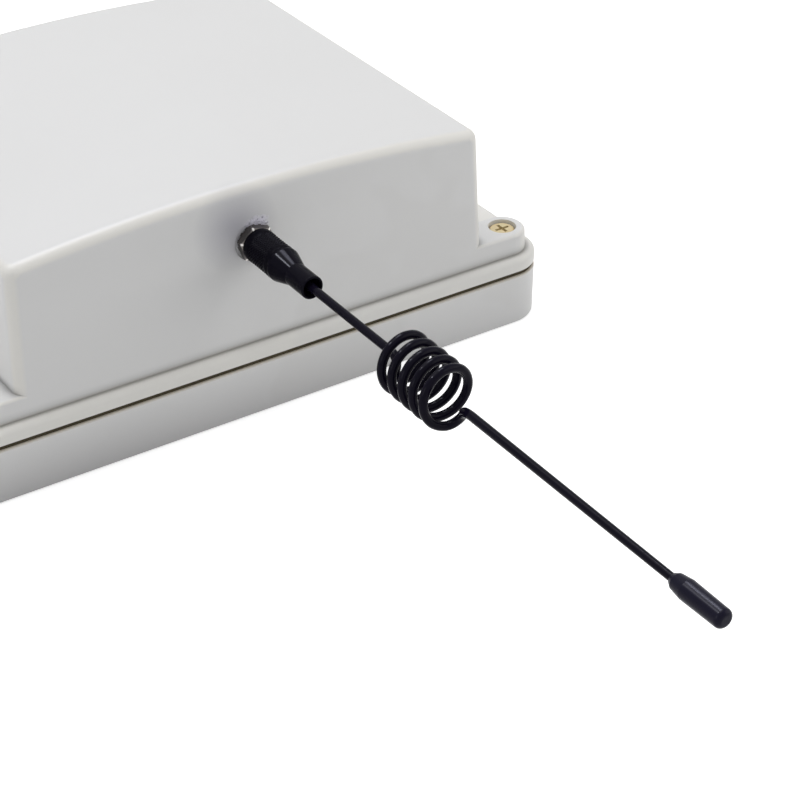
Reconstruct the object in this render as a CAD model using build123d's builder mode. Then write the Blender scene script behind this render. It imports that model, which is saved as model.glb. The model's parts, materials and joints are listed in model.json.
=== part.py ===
from build123d import *
import math
import os

# A weatherproof radio transmitter: a shallow tray, a deep shell that carries the electronics,
# and a whip antenna with a loading coil, screwed onto the shell's front wall.
# Millimetres, +Z up. The origin is the middle of the tray's underside, and the antenna
# points along -Y. Every size that can be set by itself is named here.

# Case, outside
case_width = 160.0
case_depth = 116.0
case_corner = 9.0
wall = 2.5
tray_height = 13.8
tray_draft = 0.5
tray_edge = 1.2
tray_rim_round = 0.45
seam_gap = 1.15
lip_height = 3.6
lip_round = 1.6
side_ledge = 18.0
end_ledge = 2.2
flange = 2.3

# Raised body of the shell
body_edge_z = 54.2
crown_rise = 4.0
body_draft = 2.0
body_corner = 3.1
body_edge = 2.7
body_edge_share = 0.9
inner_corner = 2.6

# Screw ears at the four corners, and the screws
ear_radius = 5.8
ear_height = 5.4
ear_edge = 0.9
ear_from_side = 8.8
ear_joins = 4.5
screw_head_radius = 3.25
screw_head_height = 2.3
screw_head_round = 0.75
head_sunk = 0.6
head_clearance = 0.25
cover_screw_radius = 1.75
cover_screw_clearance = 0.3
cross_width = 0.8
cross_length = 3.8
cross_depth = 1.4
boss_radius = 3.7
boss_rise = 0.3
insert_wall = 0.8
insert_length = 6.0
screw_past_insert = 1.0
thread_clearance = 0.05

# Locating rib and gasket
rib_thickness = 1.2
rib_clearance = 0.3
rib_drop = 2.0
gasket_inset = 0.5
gasket_width = 1.4

# Antenna socket in the front wall
axis_x = -1.6
axis_z = 44.2
thread_radius = 3.12
thread_reach = 5.0
hole_clearance = 0.12
seat_radius = 4.8
seat_sunk = 0.1
inner_seat_radius = 6.6
inner_seat_height = 0.5
washer_radius = 4.15
washer_tooth = 0.45
washer_teeth = 14
washer_thickness = 0.5
nut_flats = 8.0
nut_thickness = 1.95
nut_turn = 45.0
nut_chamfer = 0.3
jack_flange_flats = 9.0
jack_flange_thickness = 2.0
jack_bore_radius = 2.1
contact_radius = 0.75
crimp_radius = 2.3
crimp_length = 5.0

# Coupling nut that turns on the antenna's foot
fit_clearance = 0.05
nut_gap = 0.12
coupling_length = 10.2
coupling_radius = 4.1
coupling_flutes = 36
flute_depth = 0.2
spigot_radius = 2.5
collar_radius = 2.95
collar_length = 1.0
pin_radius = 0.46
pin_clearance = 0.03
pin_engagement = 3.0
pin_end_room = 0.5

# Antenna foot: smooth shoulder, cone and open neck
collar_gap = 0.1
shoulder_length = 0.75
cone_length = 4.9
neck_radius = 2.75
neck_length = 7.1
neck_round = 0.35
neck_bore_radius = 2.3
neck_bore_depth = 5.0

# Whip wire with its loading coil, and the tip cap
wire_radius = 1.0
wire_socket = 4.0
coil_radius = 6.05
coil_pitch = 3.77
whole_turns = 4
coil_from_nut = 58.75
lead_angle = 150.0
tail_angle = 165.0
hook_angle = 45.0
hook_drop = 0.35
tail_slant = 4.2
cap_from_nut = 144.45
cap_length = 14.15
cap_radius = 2.15
cap_end_radius = 2.02
cap_neck_radius = 1.2
cap_shoulder_radius = 1.75
cap_shoulder = 1.0
cap_cone = 3.8
cap_round = 1.1
cap_socket = 9.0

# Circuit board, hung from the shell, and the radio module on its upper side
board_width = 84.0
board_depth = 38.0
board_thickness = 1.6
board_corner = 2.0
board_below_axis = 8.2
board_from_wall = 3.7
board_screw_inset = 4.0
small_boss_radius = 3.2
small_screw_radius = 1.2
small_head_radius = 2.3
small_head_height = 1.5
small_screw_length = 8.0
small_clearance = 0.1
module_width = 28.0
module_depth = 26.0
module_thickness = 1.0
module_from_edge = 1.0
can_width = 13.0
can_depth = 18.0
can_height = 2.4
can_wall = 0.3
can_from_edge = 0.8
plug_radius = 1.5
plug_height = 1.5
plug_tail = 0.7
plug_from_edge = 5.0
coax_radius = 0.7
coax_straight = 9.0
coax_bend = 6.5

# Parts under the board
chip_x = 6.0
chip_from_middle = 2.0
chip_side = 7.0
chip_height = 1.2
chip_stand_off = 0.1
leg_count = 8
leg_pitch = 0.8
leg_width = 0.35
leg_length = 0.9
leg_height = 0.5
crystal_width = 10.5
crystal_depth = 4.4
crystal_height = 3.4
crystal_from_legs = 1.0
regulator_width = 6.5
regulator_depth = 6.7
regulator_height = 1.7
inductor_side = 7.0
inductor_corner = 1.2
inductor_height = 3.8
capacitor_radius = 3.1
capacitor_height = 7.2
capacitor_pitch = 8.4
light_radius = 1.5
light_height = 4.6
light_round = 1.2
bead_width = 2.0
bead_depth = 1.2
bead_height = 0.6
bead_pitch_x = 3.2
bead_pitch_y = 2.6
bead_columns = 6
bead_rows = 2

# Push switch and slide switch under the board
switch_side = 6.0
switch_height = 3.4
switch_floor = 1.0
button_radius = 1.7
button_stands = 1.2
button_travel = 0.3
slide_switch_width = 8.6
slide_switch_depth = 4.4
slide_switch_height = 3.6
slider_width = 1.8
slider_depth = 1.4
slider_stands = 2.2
slider_travel = 2.0

# Batteries in their holder, and the leads to the board
cell_radius = 7.1
cell_length = 49.3
nub_radius = 2.7
nub_length = 1.0
cell_gap = 1.0
cell_count = 3
cell_clearance = 0.2
holder_wall = 1.5
holder_end = 2.5
holder_depth = 12.5
holder_below_roof = 5.2
holder_from_wall = 3.0
contact_side = 8.0
contact_thickness = 0.4
contact_spring = 0.9
spring_foot_radius = 3.2
spring_tip_radius = 2.4
socket_width = 7.5
socket_depth = 5.4
socket_height = 4.0
socket_wall = 0.8
socket_from_module = 2.2
battery_plug_height = 5.0
lead_radius = 0.7
lead_pitch = 2.5
lead_bend = 2.6
lead_below_top = 1.5

# Places and sizes that follow from those above
lip_bottom = tray_height + seam_gap
lip_top = lip_bottom + lip_height
ear_top = lip_top + ear_height
body_width = case_width - 2 * side_ledge
body_depth = case_depth - 2 * end_ledge
screw_x = case_width / 2 - ear_from_side
screw_y = body_depth / 2 - ear_radius
boss_meet_z = tray_height + boss_rise
head_seat_z = ear_top - head_sunk - screw_head_height
screw_tip_z = boss_meet_z - insert_length - screw_past_insert
insert_radius = cover_screw_radius + thread_clearance + insert_wall
crown_z = body_edge_z + crown_rise
arch_radius = ((body_width / 2) ** 2 + crown_rise**2) / (2 * crown_rise)
slope = math.tan(math.radians(body_draft))


# The body's half width or half depth at a height, from its full size at the foot.
def half_at(foot, z):
    return foot / 2 - (z - lip_top) * slope


# The height of the arched top, outside, at a distance from the middle.
def arch_at(x):
    return crown_z - arch_radius + math.sqrt(arch_radius**2 - x**2)


# Places along the antenna, from the wall outwards
seat_y = -half_at(body_depth, axis_z + seat_radius) + seat_sunk
inner_seat_y = -half_at(body_depth, axis_z + inner_seat_radius) + wall + inner_seat_height
jack_hole_radius = thread_radius + hole_clearance
jack_back_y = inner_seat_y + jack_flange_thickness
crimp_end_y = jack_back_y + crimp_length
panel_nut_y = seat_y - washer_thickness
nut_face_y = panel_nut_y - nut_thickness
jack_end_y = nut_face_y - thread_reach
coupling_y = nut_face_y - nut_gap
foot_back_y = jack_end_y - fit_clearance
collar_front_y = foot_back_y - collar_length
thread_end_y = collar_front_y - fit_clearance
shoulder_y = coupling_y - coupling_length - collar_gap
cone_y = shoulder_y - shoulder_length
neck_y = cone_y - cone_length
neck_end_y = neck_y - neck_length
bore_end_y = neck_end_y + neck_bore_depth
wire_start_y = bore_end_y + wire_socket
cap_y = coupling_y - cap_from_nut
tip_y = cap_y - cap_length
antenna_axis = Axis((axis_x, 0, axis_z), (0, 1, 0))

# Places inside the case
board_z = axis_z - board_below_axis
board_top = board_z + board_thickness
board_front = -half_at(body_depth, board_z) + wall + board_from_wall
board_y = board_front + board_depth / 2
board_screw_x = board_width / 2 - board_screw_inset
board_screw_y = board_depth / 2 - board_screw_inset
module_y = board_y + board_depth / 2 - module_depth / 2 - module_from_edge
module_top = board_top + module_thickness
cell_pitch = 2 * cell_radius + cell_gap
holder_top = crown_z - wall - holder_below_roof
holder_inside = cell_length + nub_length + 2 * (contact_thickness + contact_spring)
holder_width = holder_inside + 2 * holder_end
holder_across = cell_count * cell_pitch + 2 * holder_wall
holder_y = half_at(body_depth, holder_top) - wall - holder_from_wall - holder_across / 2
holder_front = holder_y - holder_across / 2
holder_screw_y = holder_y + cell_pitch / 2 * (cell_count % 2)
cell_z = holder_top - holder_wall - cell_radius - cell_clearance


# A plane square to the antenna, whose extrusions run outwards along -Y.
def across_antenna(y):
    return Plane(origin=(axis_x, y, axis_z), x_dir=(1, 0, 0), z_dir=(0, -1, 0))


# The case's outline, smaller all round by inset.
def case_outline(inset, mode=Mode.ADD):
    RectangleRounded(case_width - 2 * inset, case_depth - 2 * inset, case_corner - inset, mode=mode)


# The four corner places of everything that the cover screws hold.
def corner_places():
    return GridLocations(2 * screw_x, 2 * screw_y, 2, 2)


# The four corner places of the circuit board's screws.
def board_places():
    corners = [(-1, -1), (-1, 1), (1, -1), (1, 1)]
    return [Location((x * board_screw_x, board_y + y * board_screw_y)) for x, y in corners]


# The two places of the battery holder's screws, between the cells.
def holder_places():
    return [Location((0, holder_screw_y)), Location((0, holder_screw_y - cell_pitch))]


# The raised body's space, smaller all round by inset, from a height up to its arched top.
def body_space(inset, start_z, corner, edge):
    half = body_width / 2
    shoulder = (half, body_edge_z - inset)
    with BuildPart() as space:
        with BuildSketch(Plane.XY.offset(start_z)):
            Rectangle(
                2 * (half_at(body_width, start_z) - inset), 2 * (half_at(body_depth, start_z) - inset)
            )
        extrude(amount=crown_z + wall - start_z, taper=body_draft)
        uprights = space.edges().filter_by(lambda edge: abs(edge.tangent_at(0.5).Z) > 0.5)
        fillet(uprights, corner)
        with BuildSketch(Plane.XZ):
            with BuildLine():
                Polyline(shoulder, (half, start_z), (-half, start_z), (-half, shoulder[1]))
                ThreePointArc((-half, shoulder[1]), (0, crown_z - inset), shoulder)
            make_face()
        extrude(amount=case_depth, both=True, mode=Mode.INTERSECT)
        if edge > 0:
            fillet(space.faces().sort_by(Axis.Z)[-1].edges(), edge)
    return space.part


# Tray: floor, skirt and screw bosses.
with BuildPart() as base_tray:
    with BuildSketch(Plane.XY.offset(tray_height)):
        case_outline(0)
    extrude(amount=-tray_height, taper=tray_draft)
    fillet(base_tray.faces().sort_by(Axis.Z)[0].edges(), tray_edge)
    fillet(base_tray.faces().sort_by(Axis.Z)[-1].edges(), tray_rim_round)
    with BuildSketch(Plane.XY.offset(wall)):
        case_outline(wall)
    extrude(amount=tray_height, mode=Mode.SUBTRACT)
    with BuildSketch(Plane.XY.offset(wall)):
        with corner_places():
            Circle(boss_radius)
    extrude(amount=boss_meet_z - wall)
    with BuildSketch(Plane.XY.offset(boss_meet_z)):
        with corner_places():
            Circle(insert_radius)
    extrude(amount=screw_tip_z - screw_past_insert - boss_meet_z, mode=Mode.SUBTRACT)

# Brass inserts pressed into the tray's bosses, flush with their tops.
with BuildPart() as threaded_inserts:
    with BuildSketch(Plane.XY.offset(boss_meet_z)):
        with corner_places():
            Circle(insert_radius)
            Circle(cover_screw_radius + thread_clearance, mode=Mode.SUBTRACT)
    extrude(amount=-insert_length)

# Gasket lying on the tray's rim, set back a little from the outside.
with BuildPart() as sealing_gasket:
    outer_inset = gasket_inset
    inner_inset = gasket_inset + gasket_width
    with BuildSketch(Plane.XY.offset(tray_height)):
        case_outline(outer_inset)
        case_outline(inner_inset, Mode.SUBTRACT)
    extrude(amount=seam_gap)

# The raised body, solid, and the hollow inside it.
body_outside = body_space(0, lip_top - flange, body_corner, min(body_edge, body_edge_share * body_corner))
body_inside = body_space(wall, lip_bottom, inner_corner, 0)

# The four ears, with the raised body's draft, so that their fronts run on into its wall.
with BuildPart() as ears:
    with BuildSketch(Plane.XY.offset(lip_top - flange)):
        with GridLocations(0, 2 * screw_y, 1, 2):
            SlotCenterToCenter(2 * screw_x, 2 * (ear_radius + flange * slope))
        Rectangle(body_width - 2 * ear_joins, case_depth, mode=Mode.SUBTRACT)
    extrude(amount=ear_height + flange, taper=body_draft)
    fillet(ears.faces().group_by(Axis.Z)[-1].edges(), ear_edge)

# Upper shell: lip, ears and raised body in one moulding, hollow from below.
with BuildPart() as upper_shell:
    with BuildSketch(Plane.XY.offset(lip_bottom)):
        case_outline(0)
    extrude(amount=lip_height)
    fillet(upper_shell.faces().sort_by(Axis.Z)[-1].edges(), lip_round)
    add(ears.part)
    add(body_outside)
    with BuildSketch(Plane.XY.offset(lip_bottom)):
        case_outline(wall)
    extrude(amount=lip_height - flange, mode=Mode.SUBTRACT)
    add(body_inside, mode=Mode.SUBTRACT)
    # Locating rib that drops inside the tray's skirt
    rib_outer = wall + rib_clearance
    rib_inner = rib_outer + rib_thickness
    with BuildSketch(Plane.XY.offset(lip_top - flange)):
        case_outline(rib_outer)
        case_outline(rib_inner, Mode.SUBTRACT)
    extrude(amount=tray_height - rib_drop - lip_top + flange)
    # Bosses over the tray's bosses, screw holes, and recesses for the screw heads
    with BuildSketch(Plane.XY.offset(boss_meet_z)):
        with corner_places():
            Circle(boss_radius)
    extrude(amount=lip_top - boss_meet_z)
    with BuildSketch(Plane.XY.offset(boss_meet_z)):
        with corner_places():
            Circle(cover_screw_radius + cover_screw_clearance)
    extrude(amount=ear_top - boss_meet_z, mode=Mode.SUBTRACT)
    with BuildSketch(Plane.XY.offset(head_seat_z)):
        with corner_places():
            Circle(screw_head_radius + head_clearance)
    extrude(amount=ear_top - head_seat_z, mode=Mode.SUBTRACT)
    # Bosses that hang from the arched top, for the board and for the battery holder
    with BuildSketch(Plane.XY.offset(board_top)):
        with Locations(*board_places()):
            Circle(small_boss_radius)
    extrude(amount=arch_at(board_screw_x) - wall / 2 - board_top)
    with BuildSketch(Plane.XY.offset(board_top)):
        with Locations(*board_places()):
            Circle(small_screw_radius)
    extrude(amount=small_screw_length, mode=Mode.SUBTRACT)
    with BuildSketch(Plane.XY.offset(holder_top)):
        with Locations(*holder_places()):
            Circle(small_boss_radius)
    extrude(amount=crown_z - wall / 2 - holder_top)
    with BuildSketch(Plane.XY.offset(holder_top)):
        with Locations(*holder_places()):
            Circle(small_screw_radius)
    extrude(amount=holder_below_roof, mode=Mode.SUBTRACT)
    # Seat, inner pad and hole for the antenna socket
    with BuildSketch(across_antenna(inner_seat_y)):
        Circle(inner_seat_radius)
    extrude(amount=wall)
    with BuildSketch(across_antenna(seat_y)):
        Circle(seat_radius)
    extrude(amount=wall, mode=Mode.SUBTRACT)
    with BuildSketch(across_antenna(inner_seat_y)):
        Circle(jack_hole_radius)
    extrude(amount=2 * wall, mode=Mode.SUBTRACT)

# Four cover screws with a cross recess.
with BuildPart() as cover_screws:
    with BuildSketch(Plane.XY.offset(head_seat_z)):
        with corner_places():
            Circle(screw_head_radius)
    extrude(amount=screw_head_height)
    fillet(cover_screws.edges().filter_by(GeomType.CIRCLE).group_by(Axis.Z)[-1], screw_head_round)
    with BuildSketch(Plane.XY.offset(head_seat_z)):
        with corner_places():
            Circle(cover_screw_radius)
    extrude(amount=screw_tip_z - head_seat_z)
    with BuildSketch(Plane.XY.offset(head_seat_z + screw_head_height)):
        with corner_places():
            Rectangle(cross_length, cross_width)
            Rectangle(cross_width, cross_length)
    extrude(amount=-cross_depth, mode=Mode.SUBTRACT)

# Circuit board.
with BuildPart() as circuit_board:
    with BuildSketch(Plane.XY.offset(board_z)):
        with Locations((0, board_y)):
            RectangleRounded(board_width, board_depth, board_corner)
        with Locations(*board_places()):
            Circle(small_screw_radius + small_clearance, mode=Mode.SUBTRACT)
    extrude(amount=board_thickness)


# Small screws, heads down against a height, up into their bosses.
def small_screws(places, head_z, length):
    with BuildPart() as screws:
        with BuildSketch(Plane.XY.offset(head_z)):
            with Locations(*places):
                Circle(small_head_radius)
        extrude(amount=-small_head_height)
        with BuildSketch(Plane.XY.offset(head_z)):
            with Locations(*places):
                Circle(small_screw_radius)
        extrude(amount=length)
    return screws


board_screws = small_screws(board_places(), board_z, small_screw_length)

# Radio module on the board's upper side.
with BuildPart() as radio_module:
    with BuildSketch(Plane.XY.offset(board_top)):
        with Locations((0, module_y)):
            Rectangle(module_width, module_depth)
    extrude(amount=module_thickness)

# Shield can over the module's chips.
can_x = can_from_edge + can_width / 2 - module_width / 2
with BuildPart() as shield_can:
    with BuildSketch(Plane.XY.offset(module_top)):
        with Locations((can_x, module_y)):
            Rectangle(can_width, can_depth)
    extrude(amount=can_height)
    with BuildSketch(Plane.XY.offset(module_top)):
        with Locations((can_x, module_y)):
            Rectangle(can_width - 2 * can_wall, can_depth - 2 * can_wall)
    extrude(amount=can_height - can_wall, mode=Mode.SUBTRACT)

# Snap-on plug at the coax's end, with a short tail for the cable.
plug_x = module_width / 2 - plug_from_edge
plug_y = module_y + module_depth / 2 - plug_from_edge
tail_y = plug_y - plug_radius - plug_tail
with BuildPart() as coax_plug:
    with BuildSketch(Plane.XY.offset(module_top)):
        with Locations((plug_x, plug_y)):
            Circle(plug_radius)
        with Locations((plug_x, (plug_y + tail_y) / 2)):
            Rectangle(2 * coax_radius, plug_y - tail_y)
    extrude(amount=plug_height)

# Coax from the socket's crimp, on along the antenna's axis, then down and across to its plug.
with BuildPart() as coax_pigtail:
    with BuildLine() as coax_route:
        FilletPolyline(
            (axis_x, crimp_end_y, axis_z),
            (axis_x, crimp_end_y + coax_straight, axis_z),
            (plug_x, tail_y - coax_straight, module_top + plug_height / 2),
            (plug_x, tail_y, module_top + plug_height / 2),
            radius=coax_bend,
        )
    with BuildSketch(across_antenna(crimp_end_y)):
        Circle(coax_radius)
    sweep(path=coax_route.wire())

# Socket that the antenna screws onto, held by its flange inside and the panel nut outside.
with BuildPart() as antenna_jack:
    with BuildSketch(across_antenna(jack_back_y)):
        RegularPolygon(jack_flange_flats / 2, 6, major_radius=False)
    extrude(amount=jack_flange_thickness)
    with BuildSketch(across_antenna(jack_back_y)):
        Circle(thread_radius)
    extrude(amount=jack_back_y - jack_end_y)
    with BuildSketch(across_antenna(jack_back_y)):
        Circle(jack_bore_radius)
    extrude(amount=jack_back_y - jack_end_y, mode=Mode.SUBTRACT)
    with BuildSketch(across_antenna(crimp_end_y)):
        Circle(crimp_radius)
    extrude(amount=crimp_length)

# Insulator that holds the socket's centre contact.
with BuildPart() as jack_insulator:
    with BuildSketch(across_antenna(jack_back_y)):
        Circle(jack_bore_radius)
        Circle(contact_radius, mode=Mode.SUBTRACT)
    extrude(amount=jack_back_y - jack_end_y)

# Centre contact, bored for the antenna's pin.
with BuildPart() as jack_contact:
    with BuildSketch(across_antenna(jack_back_y)):
        Circle(contact_radius)
    extrude(amount=jack_back_y - jack_end_y)
    with BuildSketch(across_antenna(jack_end_y + pin_engagement + pin_end_room)):
        Circle(pin_radius + pin_clearance)
    extrude(amount=pin_engagement + pin_end_room, mode=Mode.SUBTRACT)

# Toothed washer against the front wall.
with BuildPart() as star_washer:
    with BuildSketch(across_antenna(seat_y)):
        Circle(washer_radius)
        with PolarLocations(washer_radius, washer_teeth):
            Rectangle(2 * washer_tooth, math.pi * washer_radius / washer_teeth)
        Circle(thread_radius + small_clearance, mode=Mode.SUBTRACT)
    extrude(amount=washer_thickness)

# Hex nut that holds the socket, with turned corners.
with BuildPart() as panel_nut:
    corner_radius = nut_flats / math.sqrt(3)
    with BuildSketch(across_antenna(panel_nut_y)):
        RegularPolygon(nut_flats / 2, 6, major_radius=False, rotation=nut_turn)
        Circle(thread_radius + thread_clearance, mode=Mode.SUBTRACT)
    extrude(amount=nut_thickness)
    with BuildSketch(Plane.YZ.offset(axis_x)):
        with BuildLine():
            Polyline(
                (panel_nut_y, axis_z),
                (panel_nut_y, axis_z + corner_radius),
                (nut_face_y + nut_chamfer, axis_z + corner_radius),
                (nut_face_y, axis_z + corner_radius - 2 * nut_chamfer),
                (nut_face_y, axis_z),
                close=True,
            )
        make_face()
    revolve(axis=antenna_axis, mode=Mode.INTERSECT)

# Coupling nut: fluted outside, threaded inside at the back, turning on the foot's spigot.
with BuildPart() as coupling_nut:
    with BuildSketch(across_antenna(coupling_y)):
        Circle(coupling_radius)
        with PolarLocations(coupling_radius, coupling_flutes):
            Rectangle(2 * flute_depth, 2 * flute_depth, rotation=45, mode=Mode.SUBTRACT)
    extrude(amount=coupling_length)
    with BuildSketch(across_antenna(coupling_y)):
        Circle(thread_radius + fit_clearance)
    extrude(amount=coupling_y - thread_end_y, mode=Mode.SUBTRACT)
    with BuildSketch(across_antenna(coupling_y)):
        Circle(spigot_radius + fit_clearance)
    extrude(amount=coupling_length, mode=Mode.SUBTRACT)

# Antenna foot: collar and spigot inside the nut, then shoulder, cone and open neck.
with BuildPart() as antenna_foot:
    rounding = neck_round * (1 - math.sqrt(0.5))
    with BuildSketch(Plane.YZ.offset(axis_x)):
        with BuildLine():
            Polyline(
                (wire_start_y, axis_z + contact_radius),
                (foot_back_y, axis_z + contact_radius),
                (foot_back_y, axis_z + collar_radius),
                (collar_front_y, axis_z + collar_radius),
                (collar_front_y, axis_z + spigot_radius),
                (shoulder_y, axis_z + spigot_radius),
                (shoulder_y, axis_z + coupling_radius),
                (cone_y, axis_z + coupling_radius),
                (neck_y, axis_z + neck_radius),
                (neck_end_y + neck_round, axis_z + neck_radius),
            )
            ThreePointArc(
                (neck_end_y + neck_round, axis_z + neck_radius),
                (neck_end_y + rounding, axis_z + neck_radius - rounding),
                (neck_end_y, axis_z + neck_radius - neck_round),
            )
            Polyline(
                (neck_end_y, axis_z + neck_radius - neck_round),
                (neck_end_y, axis_z + neck_bore_radius),
                (bore_end_y, axis_z + neck_bore_radius),
                (bore_end_y, axis_z + wire_radius),
                (wire_start_y, axis_z + wire_radius),
                (wire_start_y, axis_z + contact_radius),
            )
        make_face()
    revolve(axis=antenna_axis)

# Centre pin: a shank from the wire back through the foot, and the pin that enters the socket.
with BuildPart() as antenna_pin:
    with BuildSketch(across_antenna(foot_back_y)):
        Circle(contact_radius)
    extrude(amount=foot_back_y - wire_start_y)
    with BuildSketch(across_antenna(jack_end_y + pin_engagement)):
        Circle(pin_radius)
    extrude(amount=jack_end_y + pin_engagement - foot_back_y)


# A place and a direction on the coil, at an angle from the first turn's top.
def on_coil(angle):
    turn = math.radians(angle)
    rise = coil_pitch / (2 * math.pi)
    radial = Vector(-math.sin(turn), 0, math.cos(turn))
    place = Vector(axis_x, first_turn_y - rise * turn, axis_z) + radial * coil_radius
    way = Vector(-coil_radius * math.cos(turn), -rise, -coil_radius * math.sin(turn)).normalized()
    return place, way


# A place on the way between axis and coil, where the wire runs straight out, or in with a slant.
def on_hook(angle, y, outward, slant):
    turn = math.radians(angle)
    radial = Vector(-math.sin(turn), 0, math.cos(turn))
    way = (radial * outward + Vector(0, -slant, 0)).normalized()
    return Vector(axis_x, y, axis_z) + radial * hook_radius, way


# Two arcs that leave one place in its direction and arrive at the next in its own.
def biarc(start, end):
    (start_place, start_way), (end_place, end_way) = start, end
    chord = end_place - start_place
    turning = 2 * (1 - start_way.dot(end_way))
    along = chord.dot(start_way + end_way)
    reach = (math.sqrt(along**2 + turning * chord.dot(chord)) - along) / turning
    corner_a = start_place + start_way * reach
    corner_b = end_place - end_way * reach
    middle = (corner_a + corner_b) * 0.5
    TangentArc(start_place, middle, tangent=start_way)
    TangentArc(middle, end_place, tangent=(corner_b - corner_a).normalized())


# Whip wire: straight, round its coil in one unbroken piece, and straight on to the tip.
hook_share = math.sin(math.radians(hook_angle)) / (1 + math.sin(math.radians(hook_angle)))
hook_radius = coil_radius * hook_share
first_turn_y = coupling_y - coil_from_nut
coil_from = -lead_angle
coil_to = 360 * whole_turns + tail_angle
quarters = math.ceil((coil_to - coil_from) / 90)
coil_stations = [on_coil(coil_from + (coil_to - coil_from) * i / quarters) for i in range(quarters + 1)]
lead_y = coil_stations[0][0].Y + hook_drop
slant = tail_slant / coil_radius
tail_y = coil_stations[-1][0].Y - hook_drop - tail_slant * (1 - hook_share)
tail_start_y = tail_y - hook_radius * (slant + math.sqrt(1 + slant**2))
along_axis = Vector(0, -1, 0)
lead_end = (Vector(axis_x, lead_y + hook_radius, axis_z), along_axis)
tail_start = (Vector(axis_x, tail_start_y, axis_z), along_axis)
stations = [lead_end, on_hook(coil_from - hook_angle, lead_y, 1, 0)]
stations += coil_stations
stations += [on_hook(coil_to + hook_angle, tail_y, -1, slant), tail_start]
with BuildPart() as whip_wire:
    with BuildLine() as whip_route:
        Line((axis_x, wire_start_y, axis_z), lead_end[0])
        for here, there in zip(stations, stations[1:]):
            biarc(here, there)
        Line(tail_start[0], (axis_x, cap_y - cap_socket, axis_z))
    with BuildSketch(across_antenna(wire_start_y)):
        Circle(wire_radius)
    sweep(path=whip_route.wire())

# Points along the wire, to measure its length, its bends and its least gap to itself.
wire_edges = whip_route.wire().edges()
wire_length = 0.0
wire_points = []
for edge in wire_edges:
    if edge.geom_type == GeomType.CIRCLE:
        wire_points += [(wire_length + edge.length * i / 8, edge.position_at(i / 8)) for i in range(8)]
    wire_length += edge.length
gaps = [
    (here[1] - there[1]).length - 2 * wire_radius
    for here in wire_points
    for there in wire_points
    if there[0] - here[0] > 3 * math.pi * wire_radius
]
bends = [edge.radius for edge in wire_edges if edge.geom_type == GeomType.CIRCLE]
print(f"whip wire: length {wire_length:.1f}, least gap between turns {min(gaps):.2f}")
print(f"whip wire: tightest bend {min(bends):.2f}, wire diameter {2 * wire_radius:.2f}")
tube_volume = math.pi * wire_radius**2 * wire_length
print(f"whip wire: volume over section times length {whip_wire.part.volume / tube_volume:.4f}")

# Moulded cap on the wire's tip.
with BuildPart() as tip_cap:
    tip_rounding = cap_round * (1 - math.sqrt(0.5))
    with BuildSketch(Plane.YZ.offset(axis_x)):
        with BuildLine():
            Polyline(
                (cap_y - cap_socket, axis_z),
                (cap_y - cap_socket, axis_z + wire_radius),
                (cap_y, axis_z + wire_radius),
                (cap_y, axis_z + cap_neck_radius),
                (cap_y - cap_shoulder, axis_z + cap_shoulder_radius),
                (cap_y - cap_cone, axis_z + cap_radius),
                (tip_y + cap_round, axis_z + cap_end_radius),
            )
            ThreePointArc(
                (tip_y + cap_round, axis_z + cap_end_radius),
                (tip_y + tip_rounding, axis_z + cap_end_radius - tip_rounding),
                (tip_y, axis_z + cap_end_radius - cap_round),
            )
            Polyline(
                (tip_y, axis_z + cap_end_radius - cap_round),
                (tip_y, axis_z),
                (cap_y - cap_socket, axis_z),
            )
        make_face()
    revolve(axis=antenna_axis)

# Controller chip with legs on its four sides.
chip_y = board_y + chip_from_middle
with BuildPart() as controller_chip:
    with BuildSketch(Plane.XY.offset(board_z - chip_stand_off)):
        with Locations((chip_x, chip_y)):
            Rectangle(chip_side, chip_side)
    extrude(amount=-chip_height)
    with BuildSketch(Plane.XY.offset(board_z)):
        with Locations((chip_x, chip_y)):
            with GridLocations(leg_pitch, chip_side, leg_count, 2):
                Rectangle(leg_width, 2 * leg_length)
            with GridLocations(chip_side, leg_pitch, 2, leg_count):
                Rectangle(2 * leg_length, leg_width)
    extrude(amount=-leg_height)

# Crystal can behind the chip.
crystal_y = chip_y + chip_side / 2 + leg_length + crystal_from_legs + crystal_depth / 2
with BuildPart() as crystal:
    with BuildSketch(Plane.XY.offset(board_z)):
        with Locations((chip_x, crystal_y)):
            SlotOverall(crystal_width, crystal_depth)
    extrude(amount=-crystal_height)

# Voltage regulator, its inductor and its two capacitors.
supply_x = -board_width / 4 - regulator_width / 2
with BuildPart() as voltage_regulator:
    with BuildSketch(Plane.XY.offset(board_z)):
        with Locations((supply_x, board_y - regulator_depth)):
            Rectangle(regulator_width, regulator_depth)
    extrude(amount=-regulator_height)

with BuildPart() as power_inductor:
    with BuildSketch(Plane.XY.offset(board_z)):
        with Locations((supply_x + regulator_width + inductor_side / 2, board_y - regulator_depth)):
            RectangleRounded(inductor_side, inductor_side, inductor_corner)
    extrude(amount=-inductor_height)

with BuildPart() as smoothing_capacitors:
    with BuildSketch(Plane.XY.offset(board_z)):
        with Locations((supply_x + capacitor_pitch / 2, board_y + capacitor_radius)):
            with GridLocations(capacitor_pitch, 0, 2, 1):
                Circle(capacitor_radius)
    extrude(amount=-capacitor_height)

# Small chip capacitors and resistors in two rows.
with BuildPart() as chip_components:
    with BuildSketch(Plane.XY.offset(board_z)):
        with Locations((chip_x, chip_y - chip_side - 3 * bead_depth)):
            with GridLocations(bead_pitch_x, bead_pitch_y, bead_columns, bead_rows):
                Rectangle(bead_width, bead_depth)
    extrude(amount=-bead_height)

# Status light.
with BuildPart() as status_light:
    with BuildSketch(Plane.XY.offset(board_z)):
        with Locations((board_width / 4, board_y - board_depth / 3)):
            Circle(light_radius)
    extrude(amount=-light_height)
    fillet(status_light.faces().sort_by(Axis.Z)[0].edges(), light_round)

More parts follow.
